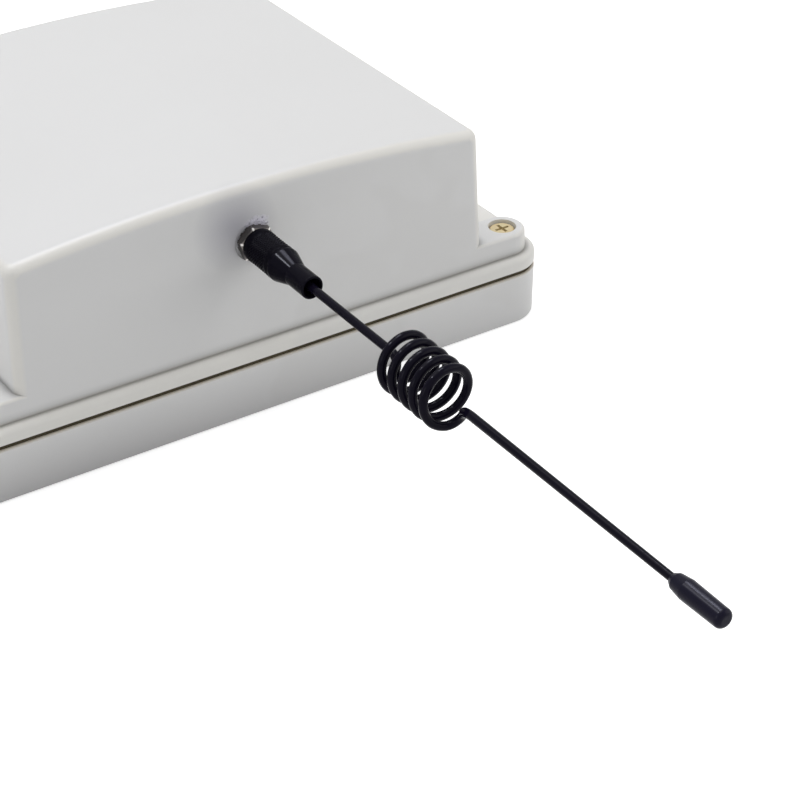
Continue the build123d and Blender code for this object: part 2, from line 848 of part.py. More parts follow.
# Push switch for pairing: a square body, and a round button that is pressed towards the board.
button_x = board_width / 4 + switch_side + light_radius
button_y = board_y - switch_side
button_hole = button_radius + fit_clearance
with BuildPart() as pairing_switch:
    with BuildSketch(Plane.XY.offset(board_z)):
        with Locations((button_x, button_y)):
            Rectangle(switch_side, switch_side)
    extrude(amount=-switch_height)
    with BuildSketch(Plane.XY.offset(board_z - switch_height)):
        with Locations((button_x, button_y)):
            Circle(button_hole)
    extrude(amount=switch_height - switch_floor, mode=Mode.SUBTRACT)

with BuildPart() as pairing_button:
    with BuildSketch(Plane.XY.offset(board_z - switch_height - button_stands)):
        with Locations((button_x, button_y)):
            Circle(button_radius)
    extrude(amount=button_stands + switch_height - switch_floor - button_travel - fit_clearance)

# Slide switch for the power, with its slider in a slot, shown at its off end.
slot_width = slider_width + slider_travel + 2 * small_clearance
slide_y = board_y + slide_switch_depth
with BuildPart() as power_switch:
    with BuildSketch(Plane.XY.offset(board_z)):
        with Locations((button_x, slide_y)):
            Rectangle(slide_switch_width, slide_switch_depth)
    extrude(amount=-slide_switch_height)
    with BuildSketch(Plane.XY.offset(board_z - slide_switch_height)):
        with Locations((button_x, slide_y)):
            Rectangle(slot_width, slider_depth + 2 * fit_clearance)
    extrude(amount=slide_switch_height - switch_floor, mode=Mode.SUBTRACT)

with BuildPart() as power_slider:
    with BuildSketch(Plane.XY.offset(board_z - slide_switch_height - slider_stands)):
        with Locations((button_x - slider_travel / 2, slide_y)):
            Rectangle(slider_width, slider_depth)
    extrude(amount=slider_stands + slide_switch_height - switch_floor - fit_clearance)

# Battery holder, open downwards, screwed to bosses under the shell's top.
with BuildPart() as battery_holder:
    with BuildSketch(Plane.XY.offset(holder_top)):
        with Locations((0, holder_y)):
            Rectangle(holder_width, holder_across)
    extrude(amount=-holder_depth)
    with BuildSketch(Plane.XY.offset(holder_top - holder_wall)):
        with Locations((0, holder_y)):
            Rectangle(holder_inside, holder_across - 2 * holder_wall)
    extrude(amount=holder_wall - holder_depth, mode=Mode.SUBTRACT)
    with BuildSketch(Plane.XY.offset(holder_top)):
        with Locations(*holder_places()):
            Circle(small_screw_radius + small_clearance)
    extrude(amount=-holder_wall, mode=Mode.SUBTRACT)

holder_screws = small_screws(holder_places(), holder_top - holder_wall, holder_wall + holder_below_roof)


# A cell's place across the holder, and which way along X its nub points.
def cell_place(index):
    return holder_y + (index - (cell_count - 1) / 2) * cell_pitch, 1 if index % 2 == 0 else -1


# A plane across the cells at a place along X, facing the given way.
def across_cells(x, y, way):
    return Plane(origin=(x, y, cell_z), x_dir=(0, 1, 0), z_dir=(way, 0, 0))


# Battery cells, laid head to tail.
with BuildPart() as battery_cells:
    for index in range(cell_count):
        cell_y, way = cell_place(index)
        cell_foot = -way * (cell_length + nub_length) / 2
        with BuildSketch(across_cells(cell_foot, cell_y, way)):
            Circle(cell_radius)
        extrude(amount=cell_length)
        with BuildSketch(across_cells(cell_foot + way * cell_length, cell_y, way)):
            Circle(nub_radius)
        extrude(amount=nub_length)

# Contact plates on the holder's end walls, with a spring cone for each cell's flat end.
with BuildPart() as battery_contacts:
    for index in range(cell_count):
        cell_y, way = cell_place(index)
        for end in (-1, 1):
            wall_x = end * holder_inside / 2
            with BuildSketch(across_cells(wall_x, cell_y, -end)):
                Rectangle(contact_side, contact_side)
            extrude(amount=contact_thickness)
            with BuildSketch(across_cells(wall_x - end * contact_thickness, cell_y, -end)):
                Circle(spring_tip_radius if end == way else spring_foot_radius)
            with BuildSketch(across_cells(wall_x - end * (contact_thickness + contact_spring), cell_y, -end)):
                Circle(spring_tip_radius)
            loft()

# Battery socket on the board's upper side, and the plug in it.
socket_x = -module_width / 2 - socket_from_module - socket_width / 2
socket_y = board_y + board_depth / 2 - socket_depth - module_from_edge
socket_floor_z = board_top + socket_wall
plug_top_z = socket_floor_z + battery_plug_height
with BuildPart() as battery_socket:
    with BuildSketch(Plane.XY.offset(board_top)):
        with Locations((socket_x, socket_y)):
            Rectangle(socket_width, socket_depth)
    extrude(amount=socket_height)
    with BuildSketch(Plane.XY.offset(socket_floor_z)):
        with Locations((socket_x, socket_y)):
            Rectangle(socket_width - 2 * socket_wall, socket_depth - 2 * socket_wall)
    extrude(amount=socket_height - socket_wall, mode=Mode.SUBTRACT)

with BuildPart() as battery_plug:
    plug_inset = 2 * (socket_wall + small_clearance)
    with BuildSketch(Plane.XY.offset(socket_floor_z)):
        with Locations((socket_x, socket_y)):
            Rectangle(socket_width - plug_inset, socket_depth - plug_inset)
    extrude(amount=battery_plug_height)


# A lead from the plug, up beside the holder and back to its front wall.
def battery_lead(x):
    lead_z = holder_top - lead_below_top
    corners = [(x, socket_y, plug_top_z), (x, socket_y, lead_z), (x, holder_front, lead_z)]
    with BuildPart() as lead:
        with BuildLine() as lead_route:
            FilletPolyline(*corners, radius=lead_bend)
        with BuildSketch(Plane.XY.offset(plug_top_z)):
            with Locations((x, socket_y)):
                Circle(lead_radius)
        sweep(path=lead_route.wire())
    return lead


red_lead = battery_lead(socket_x - lead_pitch / 2)
black_lead = battery_lead(socket_x + lead_pitch / 2)

# Every piece by its name, written one file each
pieces = {
    "base_tray": base_tray,
    "threaded_inserts": threaded_inserts,
    "sealing_gasket": sealing_gasket,
    "upper_shell": upper_shell,
    "cover_screws": cover_screws,
    "circuit_board": circuit_board,
    "board_screws": board_screws,
    "radio_module": radio_module,
    "shield_can": shield_can,
    "coax_plug": coax_plug,
    "coax_pigtail": coax_pigtail,
    "antenna_jack": antenna_jack,
    "jack_insulator": jack_insulator,
    "jack_contact": jack_contact,
    "star_washer": star_washer,
    "panel_nut": panel_nut,
    "coupling_nut": coupling_nut,
    "antenna_foot": antenna_foot,
    "antenna_pin": antenna_pin,
    "whip_wire": whip_wire,
    "tip_cap": tip_cap,
    "controller_chip": controller_chip,
    "crystal": crystal,
    "voltage_regulator": voltage_regulator,
    "power_inductor": power_inductor,
    "smoothing_capacitors": smoothing_capacitors,
    "chip_components": chip_components,
    "status_light": status_light,
    "pairing_switch": pairing_switch,
    "pairing_button": pairing_button,
    "power_switch": power_switch,
    "power_slider": power_slider,
    "battery_holder": battery_holder,
    "holder_screws": holder_screws,
    "battery_cells": battery_cells,
    "battery_contacts": battery_contacts,
    "battery_socket": battery_socket,
    "battery_plug": battery_plug,
    "red_lead": red_lead,
    "black_lead": black_lead,
}
os.makedirs("parts", exist_ok=True)
for name, piece in pieces.items():
    piece.part.label = name
    export_step(piece.part, f"parts/{name}.step")
print(len(pieces), "parts written")
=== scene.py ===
import bpy
import bmesh
import json
import math
from mathutils import Matrix, Vector


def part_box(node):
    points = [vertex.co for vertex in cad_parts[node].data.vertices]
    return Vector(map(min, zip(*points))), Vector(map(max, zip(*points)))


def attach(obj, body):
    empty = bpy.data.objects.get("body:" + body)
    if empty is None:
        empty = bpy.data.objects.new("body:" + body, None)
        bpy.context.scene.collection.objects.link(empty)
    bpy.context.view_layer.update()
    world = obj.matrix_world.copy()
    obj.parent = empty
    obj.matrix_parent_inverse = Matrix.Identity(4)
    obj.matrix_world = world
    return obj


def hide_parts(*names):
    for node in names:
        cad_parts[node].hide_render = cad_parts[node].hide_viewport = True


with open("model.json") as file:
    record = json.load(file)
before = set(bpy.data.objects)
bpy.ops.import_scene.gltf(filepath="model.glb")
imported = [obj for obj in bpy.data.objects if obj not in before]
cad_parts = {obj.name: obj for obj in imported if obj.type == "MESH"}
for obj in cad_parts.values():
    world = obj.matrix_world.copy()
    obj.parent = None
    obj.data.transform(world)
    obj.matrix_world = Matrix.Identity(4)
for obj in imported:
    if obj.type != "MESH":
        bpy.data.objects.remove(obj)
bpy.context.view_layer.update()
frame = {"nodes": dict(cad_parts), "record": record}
nodes = frame["nodes"]
print("frame loaded:", len(nodes), "nodes")

mm = 0.001

# Where the antenna's axis runs, as in the part's source (mm), and how its hex nut is turned (degrees)
antenna = {"x": -1.6, "z": 44.2, "nutSides": 6, "nutTurn": 45.0}

# Camera: place and angles worked out from the photograph, in the part's own frame
cameraSetup = {
    "place": (-202.59, -419.07, 273.05),  # mm
    "azimuth": -33.423,
    "elevation": 33.221,
    "focalPixels": 2104.5,
    "imagePixels": 800,
    "sensor": 36.0,
    "clip": (0.01, 20),
}


def makeCamera(setup):
    azimuth = math.radians(setup["azimuth"])
    elevation = math.radians(setup["elevation"])
    camera = bpy.data.objects.new("camera", bpy.data.cameras.new("camera"))
    camera.data.sensor_width = setup["sensor"]
    camera.data.lens = setup["sensor"] * setup["focalPixels"] / setup["imagePixels"]
    camera.data.clip_start, camera.data.clip_end = setup["clip"]
    camera.location = [v * mm for v in setup["place"]]
    camera.rotation_euler = (math.pi / 2 - elevation, 0, azimuth)
    bpy.context.scene.collection.objects.link(camera)
    bpy.context.scene.camera = camera


makeCamera(cameraSetup)


# Fills a node's inputs: a socket is linked, anything else becomes the input's own value
def feed(tree, node, inputs):
    for name, value in inputs.items():
        if isinstance(value, bpy.types.NodeSocket):
            tree.links.new(value, node.inputs[name])
        else:
            node.inputs[name].default_value = value


def addNode(tree, kind, inputs=None, **settings):
    node = tree.nodes.new("ShaderNode" + kind)
    for name, value in settings.items():
        setattr(node, name, value)
    feed(tree, node, inputs or {})
    return node


# What a sum on numbers comes to
def reckon(tree, operation, *values):
    return addNode(tree, "Math", dict(enumerate(values)), operation=operation).outputs[0]


# What a sum on vectors comes to: a number where the operation gives one, else a vector
def reckonVector(tree, operation, *vectors):
    node = addNode(tree, "VectorMath", dict(enumerate(vectors)), operation=operation)
    return node.outputs["Value" if operation in ("LENGTH", "DISTANCE", "DOT_PRODUCT") else "Vector"]


# A value carried from one range to another, and held at its ends
def carry(tree, value, fromMin, fromMax, toMin=0.0, toMax=1.0):
    inputs = {"Value": value, "From Min": fromMin, "From Max": fromMax, "To Min": toMin, "To Max": toMax}
    return addNode(tree, "MapRange", inputs).outputs["Result"]


# Two colours mixed by a share from 0 to 1: each is a socket, or red, green and blue
def blend(tree, share, first, second, kind="MIX"):
    inputs = {0: share}
    for index, colour in ((6, first), (7, second)):
        inputs[index] = (*colour, 1) if isinstance(colour, tuple) else colour
    return addNode(tree, "Mix", inputs, data_type="RGBA", blend_type=kind).outputs[2]


# Where the camera looks straight, in a mirror or through glass, and not where light falls
def seenDirectly(tree):
    path = addNode(tree, "LightPath").outputs
    mirrored = reckon(tree, "MAXIMUM", path["Is Camera Ray"], path["Is Glossy Ray"])
    return reckon(tree, "MAXIMUM", mirrored, path["Is Transmission Ray"])


# A new material with its tree and shader
def newMaterial(name):
    material = bpy.data.materials.new(name)
    material.use_nodes = True
    return material, material.node_tree, material.node_tree.nodes["Principled BSDF"]


# Studio: white all round to the camera, soft light from above, two lamps that only show as gloss
studio = {
    "worldStrength": 0.37,
    "worldSeen": 1.04,
    "worldColour": (0.97, 0.985, 1.0),
    "floorSize": 6.0,
    "floorGrey": 0.80,
    "floorGlow": 0.60,
    "floorRoughness": 0.9,
    "aim": (0.0, -0.03, 0.03),
    "lamps": {
        "overhead": {"place": (-0.05, 0.34, 1.30), "size": 1.25, "power": 9.3, "colour": (1.0, 0.99, 0.98)},
        "rightFill": {"place": (0.74, -0.64, 0.52), "size": 0.9, "power": 2.8, "colour": (1.0, 0.99, 0.97)},
        "strip": {"place": (-0.46, 0.35, 1.15), "size": 0.12, "power": 7.5, "colour": (0.86, 0.88, 1.0)},
        "leftFill": {"place": (-1.40, -0.10, 0.60), "size": 0.7, "power": 3.2, "colour": (0.98, 0.99, 1.0)},
        "blueBox": {"place": (0.22, 0.42, 1.15), "size": 0.34, "power": 7.5, "colour": (0.80, 0.82, 1.0)},
    },
    "glossOnly": ("strip", "blueBox"),
}


def makeWorld(setup):
    world = bpy.data.worlds.new("studio")
    bpy.context.scene.world = world
    world.use_nodes = True
    tree = world.node_tree
    tree.nodes.clear()
    strength = carry(tree, seenDirectly(tree), 0, 1, setup["worldStrength"], setup["worldSeen"])
    background = addNode(tree, "Background", {"Color": (*setup["worldColour"], 1), "Strength": strength})
    addNode(tree, "OutputWorld", {"Surface": background.outputs[0]})


def makeFloor(setup):
    mesh = bpy.data.meshes.new("floor")
    shape = bmesh.new()
    bmesh.ops.create_grid(shape, x_segments=1, y_segments=1, size=setup["floorSize"] / 2)
    shape.to_mesh(mesh)
    shape.free()
    floor = bpy.data.objects.new("floor", mesh)
    bpy.context.scene.collection.objects.link(floor)
    material, tree, shader = newMaterial("floorWhite")
    grey = setup["floorGrey"]
    feed(tree, shader, {
        "Base Color": (grey, grey, grey, 1),
        "Roughness": setup["floorRoughness"],
        "Specular IOR Level": 0,
        "Emission Color": (1, 1, 1, 1),
        "Emission Strength": reckon(tree, "MULTIPLY", seenDirectly(tree), setup["floorGlow"]),
    })
    mesh.materials.append(material)


def makeLamp(name, setup, aim, glossOnly):
    lamp = bpy.data.objects.new(name, bpy.data.lights.new(name, "AREA"))
    lamp.data.shape = "DISK"
    lamp.data.size = setup["size"]
    lamp.data.energy = setup["power"]
    lamp.data.color = setup["colour"]
    lamp.location = setup["place"]
    towards = Vector(aim) - Vector(setup["place"])
    lamp.rotation_euler = towards.to_track_quat("-Z", "Y").to_euler()
    lamp.visible_diffuse = not glossOnly
    bpy.context.scene.collection.objects.link(lamp)


makeWorld(studio)
makeFloor(studio)
for lampName, lampSetup in studio["lamps"].items():
    makeLamp(lampName, lampSetup, studio["aim"], lampName in studio["glossOnly"])
bpy.context.scene.view_settings.view_transform = "Standard"
print("studio ready")

# Effects that several materials share, each built once as a node group
socketKinds = {"vector": "NodeSocketVector", "colour": "NodeSocketColor", "number": "NodeSocketFloat"}


def newGroup(name, inputs, outputs):
    group = bpy.data.node_groups.new(name, "ShaderNodeTree")
    for label, (kind, value) in inputs.items():
        socket = group.interface.new_socket(label, in_out="INPUT", socket_type=socketKinds[kind])
        if value is not None:
            socket.default_value = value
    for label, kind in outputs.items():
        group.interface.new_socket(label, in_out="OUTPUT", socket_type=socketKinds[kind])
    return group, group.nodes.new("NodeGroupInput").outputs, group.nodes.new("NodeGroupOutput")


def addNoise(tree, place, scale, detail, roughness=0.5):
    inputs = {"Vector": place, "Scale": scale, "Detail": detail, "Roughness": roughness}
    return addNode(tree, "TexNoise", inputs).outputs["Fac"]


# Fine texture of a mould, or of a plated or sleeved surface
def makeFineGrain():
    inputs = {"Vector": ("vector", None), "Scale": ("number", 1500.0)}
    group, given, result = newGroup("fineGrain", inputs, {"Height": "number"})
    noise = addNoise(group, given["Vector"], given["Scale"], detail=2.5, roughness=0.6)
    feed(group, result, {"Height": noise})
    return group


# A colour that drifts a little towards another, as all real surfaces do
def makeMottle():
    inputs = {"Vector": ("vector", None), "Scale": ("number", 40.0), "Colour": ("colour", (1, 1, 1, 1)),
              "Other": ("colour", (0.9, 0.9, 0.9, 1)), "Spread": ("number", 0.25)}
    group, given, result = newGroup("mottle", inputs, {"Color": "colour", "Mask": "number"})
    noise = addNoise(group, given["Vector"], given["Scale"], detail=4.0, roughness=0.55)
    low = reckon(group, "SUBTRACT", 0.5, given["Spread"])
    high = reckon(group, "ADD", 0.5, given["Spread"])
    mask = carry(group, noise, low, high)
    feed(group, result, {"Color": blend(group, mask, given["Colour"], given["Other"]), "Mask": mask})
    return group


# Sparse small dots: dust, pits, solder points
def makeSpecks():
    inputs = {"Vector": ("vector", None), "Scale": ("number", 60.0), "Size": ("number", 0.03),
              "Share": ("number", 0.2)}
    group, given, result = newGroup("specks", inputs, {"Mask": "number"})
    cells = addNode(group, "TexVoronoi", {"Vector": given["Vector"], "Scale": given["Scale"]}).outputs
    dot = reckon(group, "LESS_THAN", cells["Distance"], given["Size"])
    channels = addNode(group, "SeparateColor", {"Color": cells["Color"]})
    chosen = reckon(group, "LESS_THAN", channels.outputs[0], given["Share"])
    feed(group, result, {"Mask": reckon(group, "MULTIPLY", dot, chosen)})
    return group


# Lines left by a lathe, round the Z axis of the vector that comes in
def makeTurnedRings():
    inputs = {"Vector": ("vector", None), "Scale": ("number", 900.0), "Wander": ("number", 0.3)}
    group, given, result = newGroup("turnedRings", inputs, {"Height": "number"})
    parts = addNode(group, "SeparateXYZ", {0: given["Vector"]}).outputs
    flat = addNode(group, "CombineXYZ", {"X": parts["X"], "Y": parts["Y"]}).outputs[0]
    radius = reckonVector(group, "LENGTH", flat)
    along = addNode(group, "CombineXYZ", {"X": radius, "Y": parts["Z"]}).outputs[0]
    noise = addNoise(group, along, given["Scale"], detail=3.0, roughness=0.7)
    blur = addNoise(group, given["Vector"], scale=300.0, detail=1.0)
    wander = reckon(group, "MULTIPLY", blur, given["Wander"])
    feed(group, result, {"Height": reckon(group, "ADD", noise, wander)})
    return group


groups = {
    "fineGrain": makeFineGrain(),
    "mottle": makeMottle(),
    "specks": makeSpecks(),
    "turnedRings": makeTurnedRings(),
}


def useGroup(tree, name, inputs):
    return addNode(tree, "Group", inputs, node_tree=groups[name]).outputs


# The object's own coordinates
def ownPlace(tree):
    return addNode(tree, "TexCoord").outputs["Object"]


def drifting(tree, place, scale, colour, other, spread):
    inputs = {"Vector": place, "Scale": scale, "Colour": (*colour, 1), "Other": (*other, 1), "Spread": spread}
    return useGroup(tree, "mottle", inputs)["Color"]


def grainAt(tree, place, scale):
    return useGroup(tree, "fineGrain", {"Vector": place, "Scale": scale})["Height"]


# A normal bumped by a height, with the depth in mm, over another bump where there is one
def bumped(tree, height, strength, depth, under=None):
    inputs = {"Height": height, "Strength": strength, "Distance": depth * mm}
    if under is not None:
        inputs["Normal"] = under
    return addNode(tree, "Bump", inputs).outputs["Normal"]


print("shared effects ready")

# Case plastic: off-white, satin, a little uneven, with a few specks of dust and faint smudges
caseFinish = {
    "colours": {"shell_plastic": (0.760, 0.758, 0.756), "tray_plastic": (0.748, 0.746, 0.744)},
    "roughness": (0.42, 0.52),
    "specular": 0.42,
    "grain": {"scale": 2600.0, "strength": 0.35, "depth": 0.02},  # depth in mm
    "drift": {"colour": (0.735, 0.733, 0.728), "scale": 22.0, "spread": 0.45},
    "smudge": {"colour": (0.68, 0.675, 0.665), "scale": 9.0, "spread": 0.12, "fade": (0.93, 1.0, 0.0, 0.30)},
    "speck": {"colour": (0.12, 0.11, 0.10), "scale": 55.0, "size": 0.012, "share": 0.20},
}

# Painted shade: inner corners are painted darker, and less so in the ears, which start this far aside and
# this high (mm)
cornerPaintedShade = {"tone": (0.30, 0.29, 0.28), "reach": 2.4, "fade": (0.96, 0.46, 0.0, 0.85), "samples": 8,
            "earsAside": 64.0, "earsAbove": 21.0, "earsSpared": 0.65}

# The lip below this height (mm), and edges that slant between the faces, are painted warmer and lighter: a
# painted sheen where light falls on the rounded plastic
paintedWarmSheen = {"tone": (0.805, 0.790, 0.752), "lip": (19.3, 18.7), "slant": (0.20, 0.48)}

# Painted shade on the tray: darker towards its foot, as in the shadow near the floor, and more so to one
# side, with a brownish painted shade on its rim inside the seam gap: heights and places in mm
trayPaintedShade = {"tone": (0.66, 0.655, 0.66), "height": (13.5, 0.0), "aside": (75.0, -25.0), "asideLeast": 0.25,
           "rimPaintedShadeTone": (0.74, 0.66, 0.56), "rim": (13.2, 13.75)}

# A faint painted shadow on the wall beside the antenna's nut, and a rough, scraped patch just above it: sizes
# in mm
nutPaintedShadow = {"tone": (0.62, 0.617, 0.68), "place": (-6.0, -56.0, 49.0), "reach": 11.0}
scrape = {"place": (-0.6, -55.0, 48.1), "reach": (3.4, 6.0, 2.1), "pale": (0.74, 0.72, 0.82),
          "dark": (0.30, 0.28, 0.34), "raggedScale": 900.0, "ragged": 0.9, "edge": (1.55, 1.0),
          "crumbScale": 1500.0, "pits": (0.32, 0.52), "strength": 0.9, "depth": 0.25}


# Painted shade in inner corners, darkest where nearby faces hide most of the surroundings
def cornerPaintedShadeShare(tree, axes, setup):
    corner = addNode(tree, "AmbientOcclusion", {"Distance": setup["reach"] * mm}, only_local=True,
                     samples=setup["samples"])
    depth = carry(tree, corner.outputs["AO"], *setup["fade"])
    aside = reckon(tree, "GREATER_THAN", reckon(tree, "ABSOLUTE", axes["X"]), setup["earsAside"] * mm)
    above = reckon(tree, "GREATER_THAN", axes["Z"], setup["earsAbove"] * mm)
    onEar = reckon(tree, "MULTIPLY", aside, above)
    return reckon(tree, "MULTIPLY", depth, reckon(tree, "MULTIPLY_ADD", onEar, -setup["earsSpared"], 1.0))


# A normal's X, Y and Z, each times the next, add up to most where all faces of a corner meet; with the lip's
# height this gives where the painted sheen goes
def paintedWarmSheenShare(tree, axes, setup):
    low = carry(tree, axes["Z"], *[z * mm for z in setup["lip"]])
    normal = reckonVector(tree, "ABSOLUTE", addNode(tree, "TexCoord").outputs["Normal"])
    parts = addNode(tree, "SeparateXYZ", {0: normal}).outputs
    turned = addNode(tree, "CombineXYZ", {"X": parts["Y"], "Y": parts["Z"], "Z": parts["X"]})
    slanted = reckonVector(tree, "DOT_PRODUCT", normal, turned.outputs[0])
    return reckon(tree, "MAXIMUM", low, carry(tree, slanted, *setup["slant"]))


# Paints shade on the tray towards its foot and one side, and in the seam gap at its rim
def paintTrayShade(tree, axes, colour, setup):
    rise = carry(tree, axes["Z"], *[z * mm for z in setup["height"]])
    aside = carry(tree, axes["X"], *[x * mm for x in setup["aside"]], setup["asideLeast"])
    colour = blend(tree, reckon(tree, "MULTIPLY", rise, aside), colour, setup["tone"], "MULTIPLY")
    rim = carry(tree, axes["Z"], *[z * mm for z in setup["rim"]])
    return blend(tree, rim, colour, setup["rimPaintedShadeTone"], "MULTIPLY")


# Painted shadow on the wall, darkest at its middle beside the nut and fading outwards
def paintShellNutShadow(tree, place, colour, setup):
    away = reckonVector(tree, "DISTANCE", place, [v * mm for v in setup["place"]])
    return blend(tree, carry(tree, away, setup["reach"] * mm, 0), colour, setup["tone"], "MULTIPLY")


# The scraped patch: its colour over the given one, and its bump over the given normal
def scrapeShell(tree, place, colour, normal, setup):
    middle = [-v / r for v, r in zip(setup["place"], setup["reach"])]
    size = [1 / (r * mm) for r in setup["reach"]]
    local = addNode(tree, "Mapping", {"Vector": place, "Location": middle, "Scale": size}).outputs[0]
    edge = addNoise(tree, place, setup["raggedScale"], detail=2.0)
    ragged = reckon(tree, "MULTIPLY_ADD", edge, setup["ragged"], reckonVector(tree, "LENGTH", local))
    inside = carry(tree, ragged, *setup["edge"])
    crumbs = addNoise(tree, place, setup["crumbScale"], detail=3.0)
    torn = blend(tree, carry(tree, crumbs, *setup["pits"]), setup["dark"], setup["pale"])
    rough = reckon(tree, "MULTIPLY", inside, crumbs)
    return blend(tree, inside, colour, torn), bumped(tree, rough, setup["strength"], setup["depth"], normal)


def makeCasePlastic(name, setup):
    material, tree, shader = newMaterial(name)
    place = ownPlace(tree)
    axes = addNode(tree, "SeparateXYZ", {0: place}).outputs
    drift, smudge, speck, grain = setup["drift"], setup["smudge"], setup["speck"], setup["grain"]
    colour = drifting(tree, place, drift["scale"], setup["colours"][name], drift["colour"], drift["spread"])
    # painted warm sheen on the shell's lip and slanted edges
    if name == "shell_plastic":
        colour = blend(tree, paintedWarmSheenShare(tree, axes, paintedWarmSheen), colour, paintedWarmSheen["tone"])
    marks = useGroup(tree, "mottle", {"Vector": place, "Scale": smudge["scale"], "Spread": smudge["spread"]})
    colour = blend(tree, carry(tree, marks["Mask"], *smudge["fade"]), colour, smudge["colour"])
    dots = {"Vector": place, "Scale": speck["scale"], "Size": speck["size"], "Share": speck["share"]}
    colour = blend(tree, useGroup(tree, "specks", dots)["Mask"], colour, speck["colour"])
    # painted shade in the inner corners
    colour = blend(tree, cornerPaintedShadeShare(tree, axes, cornerPaintedShade), colour, cornerPaintedShade["tone"], "MULTIPLY")
    height = grainAt(tree, place, grain["scale"])
    normal = bumped(tree, height, grain["strength"], grain["depth"])
    if name == "tray_plastic":
        # painted shade towards the tray's foot and on its rim
        colour = paintTrayShade(tree, axes, colour, trayPaintedShade)
    else:
        # painted shadow beside the antenna's nut
        colour = paintShellNutShadow(tree, place, colour, nutPaintedShadow)
        colour, normal = scrapeShell(tree, place, colour, normal, scrape)
    feed(tree, shader, {
        "Base Color": colour,
        "Roughness": carry(tree, height, 0, 1, *setup["roughness"]),
        "Specular IOR Level": setup["specular"],
        "Normal": normal,
    })
    return material


# Moulded and sleeved plastics, rubbers and ceramics, and the coupling nut's black plating: colour, the
# colour it drifts to, least and most roughness, specular, scale of the grain and its depth in mm
mouldedFinishes = {
    "gasket_foam": ((0.045, 0.038, 0.022), (0.075, 0.062, 0.036), (0.8, 0.95), 0.2, 1800, 0.08),
    "foot_black": ((0.0036, 0.0032, 0.0066), (0.0052, 0.0045, 0.0092), (0.15, 0.20), 0.032, 1400, 0.002),
    "wire_black": ((0.0042, 0.0034, 0.0088), (0.0060, 0.0048, 0.0125), (0.12, 0.17), 0.05, 900, 0.001),
    "cap_black": ((0.0062, 0.0054, 0.0155), (0.0085, 0.0074, 0.0210), (0.22, 0.29), 0.09, 1400, 0.003),
    "coax_jacket": ((0.020, 0.020, 0.022), (0.030, 0.030, 0.033), (0.38, 0.50), 0.4, 1200, 0.01),
    "insulator_white": ((0.80, 0.80, 0.77), (0.72, 0.72, 0.69), (0.35, 0.45), 0.4, 900, 0.01),
    "chip_black": ((0.022, 0.022, 0.024), (0.034, 0.034, 0.036), (0.50, 0.65), 0.4, 3500, 0.02),
    "part_ceramic": ((0.40, 0.30, 0.19), (0.48, 0.38, 0.26), (0.45, 0.60), 0.4, 2600, 0.01),
    "inductor_grey": ((0.070, 0.070, 0.074), (0.105, 0.105, 0.110), (0.55, 0.70), 0.35, 2200, 0.03),
    "switch_black": ((0.022, 0.022, 0.022), (0.032, 0.032, 0.032), (0.36, 0.46), 0.45, 2400, 0.01),
    "button_grey": ((0.22, 0.22, 0.23), (0.26, 0.26, 0.27), (0.36, 0.46), 0.45, 2400, 0.01),
    "holder_black": ((0.026, 0.026, 0.028), (0.038, 0.038, 0.041), (0.42, 0.55), 0.4, 2000, 0.03),
    "plug_white": ((0.76, 0.74, 0.67), (0.70, 0.68, 0.60), (0.38, 0.48), 0.4, 1500, 0.01),
    "lead_red": ((0.46, 0.018, 0.012), (0.36, 0.014, 0.010), (0.34, 0.46), 0.45, 900, 0.01),
    "lead_black": ((0.018, 0.018, 0.018), (0.028, 0.028, 0.028), (0.34, 0.46), 0.45, 900, 0.01),
    "coupling_black": ((0.0034, 0.0030, 0.0054), (0.0046, 0.0040, 0.0072), (0.28, 0.36), 0.017, 2400, 0.01),
}
mouldedDrift = {"scale": 160.0, "spread": 0.25}
couplingDrift = {"scale": 350.0, "spread": 0.2}

# How strongly the grain of these and of the metals shows
grainStrength = 0.4


def makeMoulded(name, colour, other, roughness, specular, grainScale, depth, drift):
    material, tree, shader = newMaterial(name)
    place = ownPlace(tree)
    height = grainAt(tree, place, grainScale)
    feed(tree, shader, {
        "Base Color": drifting(tree, place, drift["scale"], colour, other, drift["spread"]),
        "Roughness": carry(tree, height, 0, 1, *roughness),
        "Specular IOR Level": specular,
        "Normal": bumped(tree, height, grainStrength, depth),
    })
    return material


# Metals: colour, the colour it drifts to, least and most roughness, scale of the drift, how far the grain
# is drawn out along X, Y and Z, or None for lathe rings round the antenna's axis, and its depth in mm
metalFinishes = {
    "screw_zinc": ((0.62, 0.56, 0.32), (0.62, 0.46, 0.25), (0.50, 0.65), 260, (1, 1, 1), 0.012),
    "bare_brass": ((0.62, 0.44, 0.17), (0.50, 0.33, 0.12), (0.26, 0.40), 300, (1, 1, 6), 0.012),
    "small_screw_steel": ((0.56, 0.56, 0.58), (0.44, 0.45, 0.48), (0.26, 0.42), 400, (1, 1, 1), 0.01),
    "can_metal": ((0.60, 0.60, 0.58), (0.50, 0.50, 0.49), (0.24, 0.40), 120, (8, 1, 1), 0.008),
    "gold_contact": ((0.78, 0.53, 0.18), (0.66, 0.42, 0.13), (0.20, 0.32), 260, (1, 1, 1), 0.006),
    "socket_nickel": ((0.58, 0.56, 0.52), (0.46, 0.45, 0.42), (0.18, 0.32), 260, None, 0.008),
    "washer_nickel": ((0.16, 0.155, 0.15), (0.10, 0.095, 0.095), (0.28, 0.44), 320, None, 0.01),
    "nut_steel": ((0.155, 0.141, 0.132), (0.100, 0.093, 0.090), (0.22, 0.36), 300, None, 0.012),
    "contact_nickel": ((0.58, 0.57, 0.54), (0.46, 0.46, 0.44), (0.22, 0.36), 200, (1, 6, 1), 0.008),
    "capacitor_sleeve": ((0.62, 0.63, 0.65), (0.54, 0.55, 0.57), (0.26, 0.36), 160, (1, 1, 6), 0.006),
}
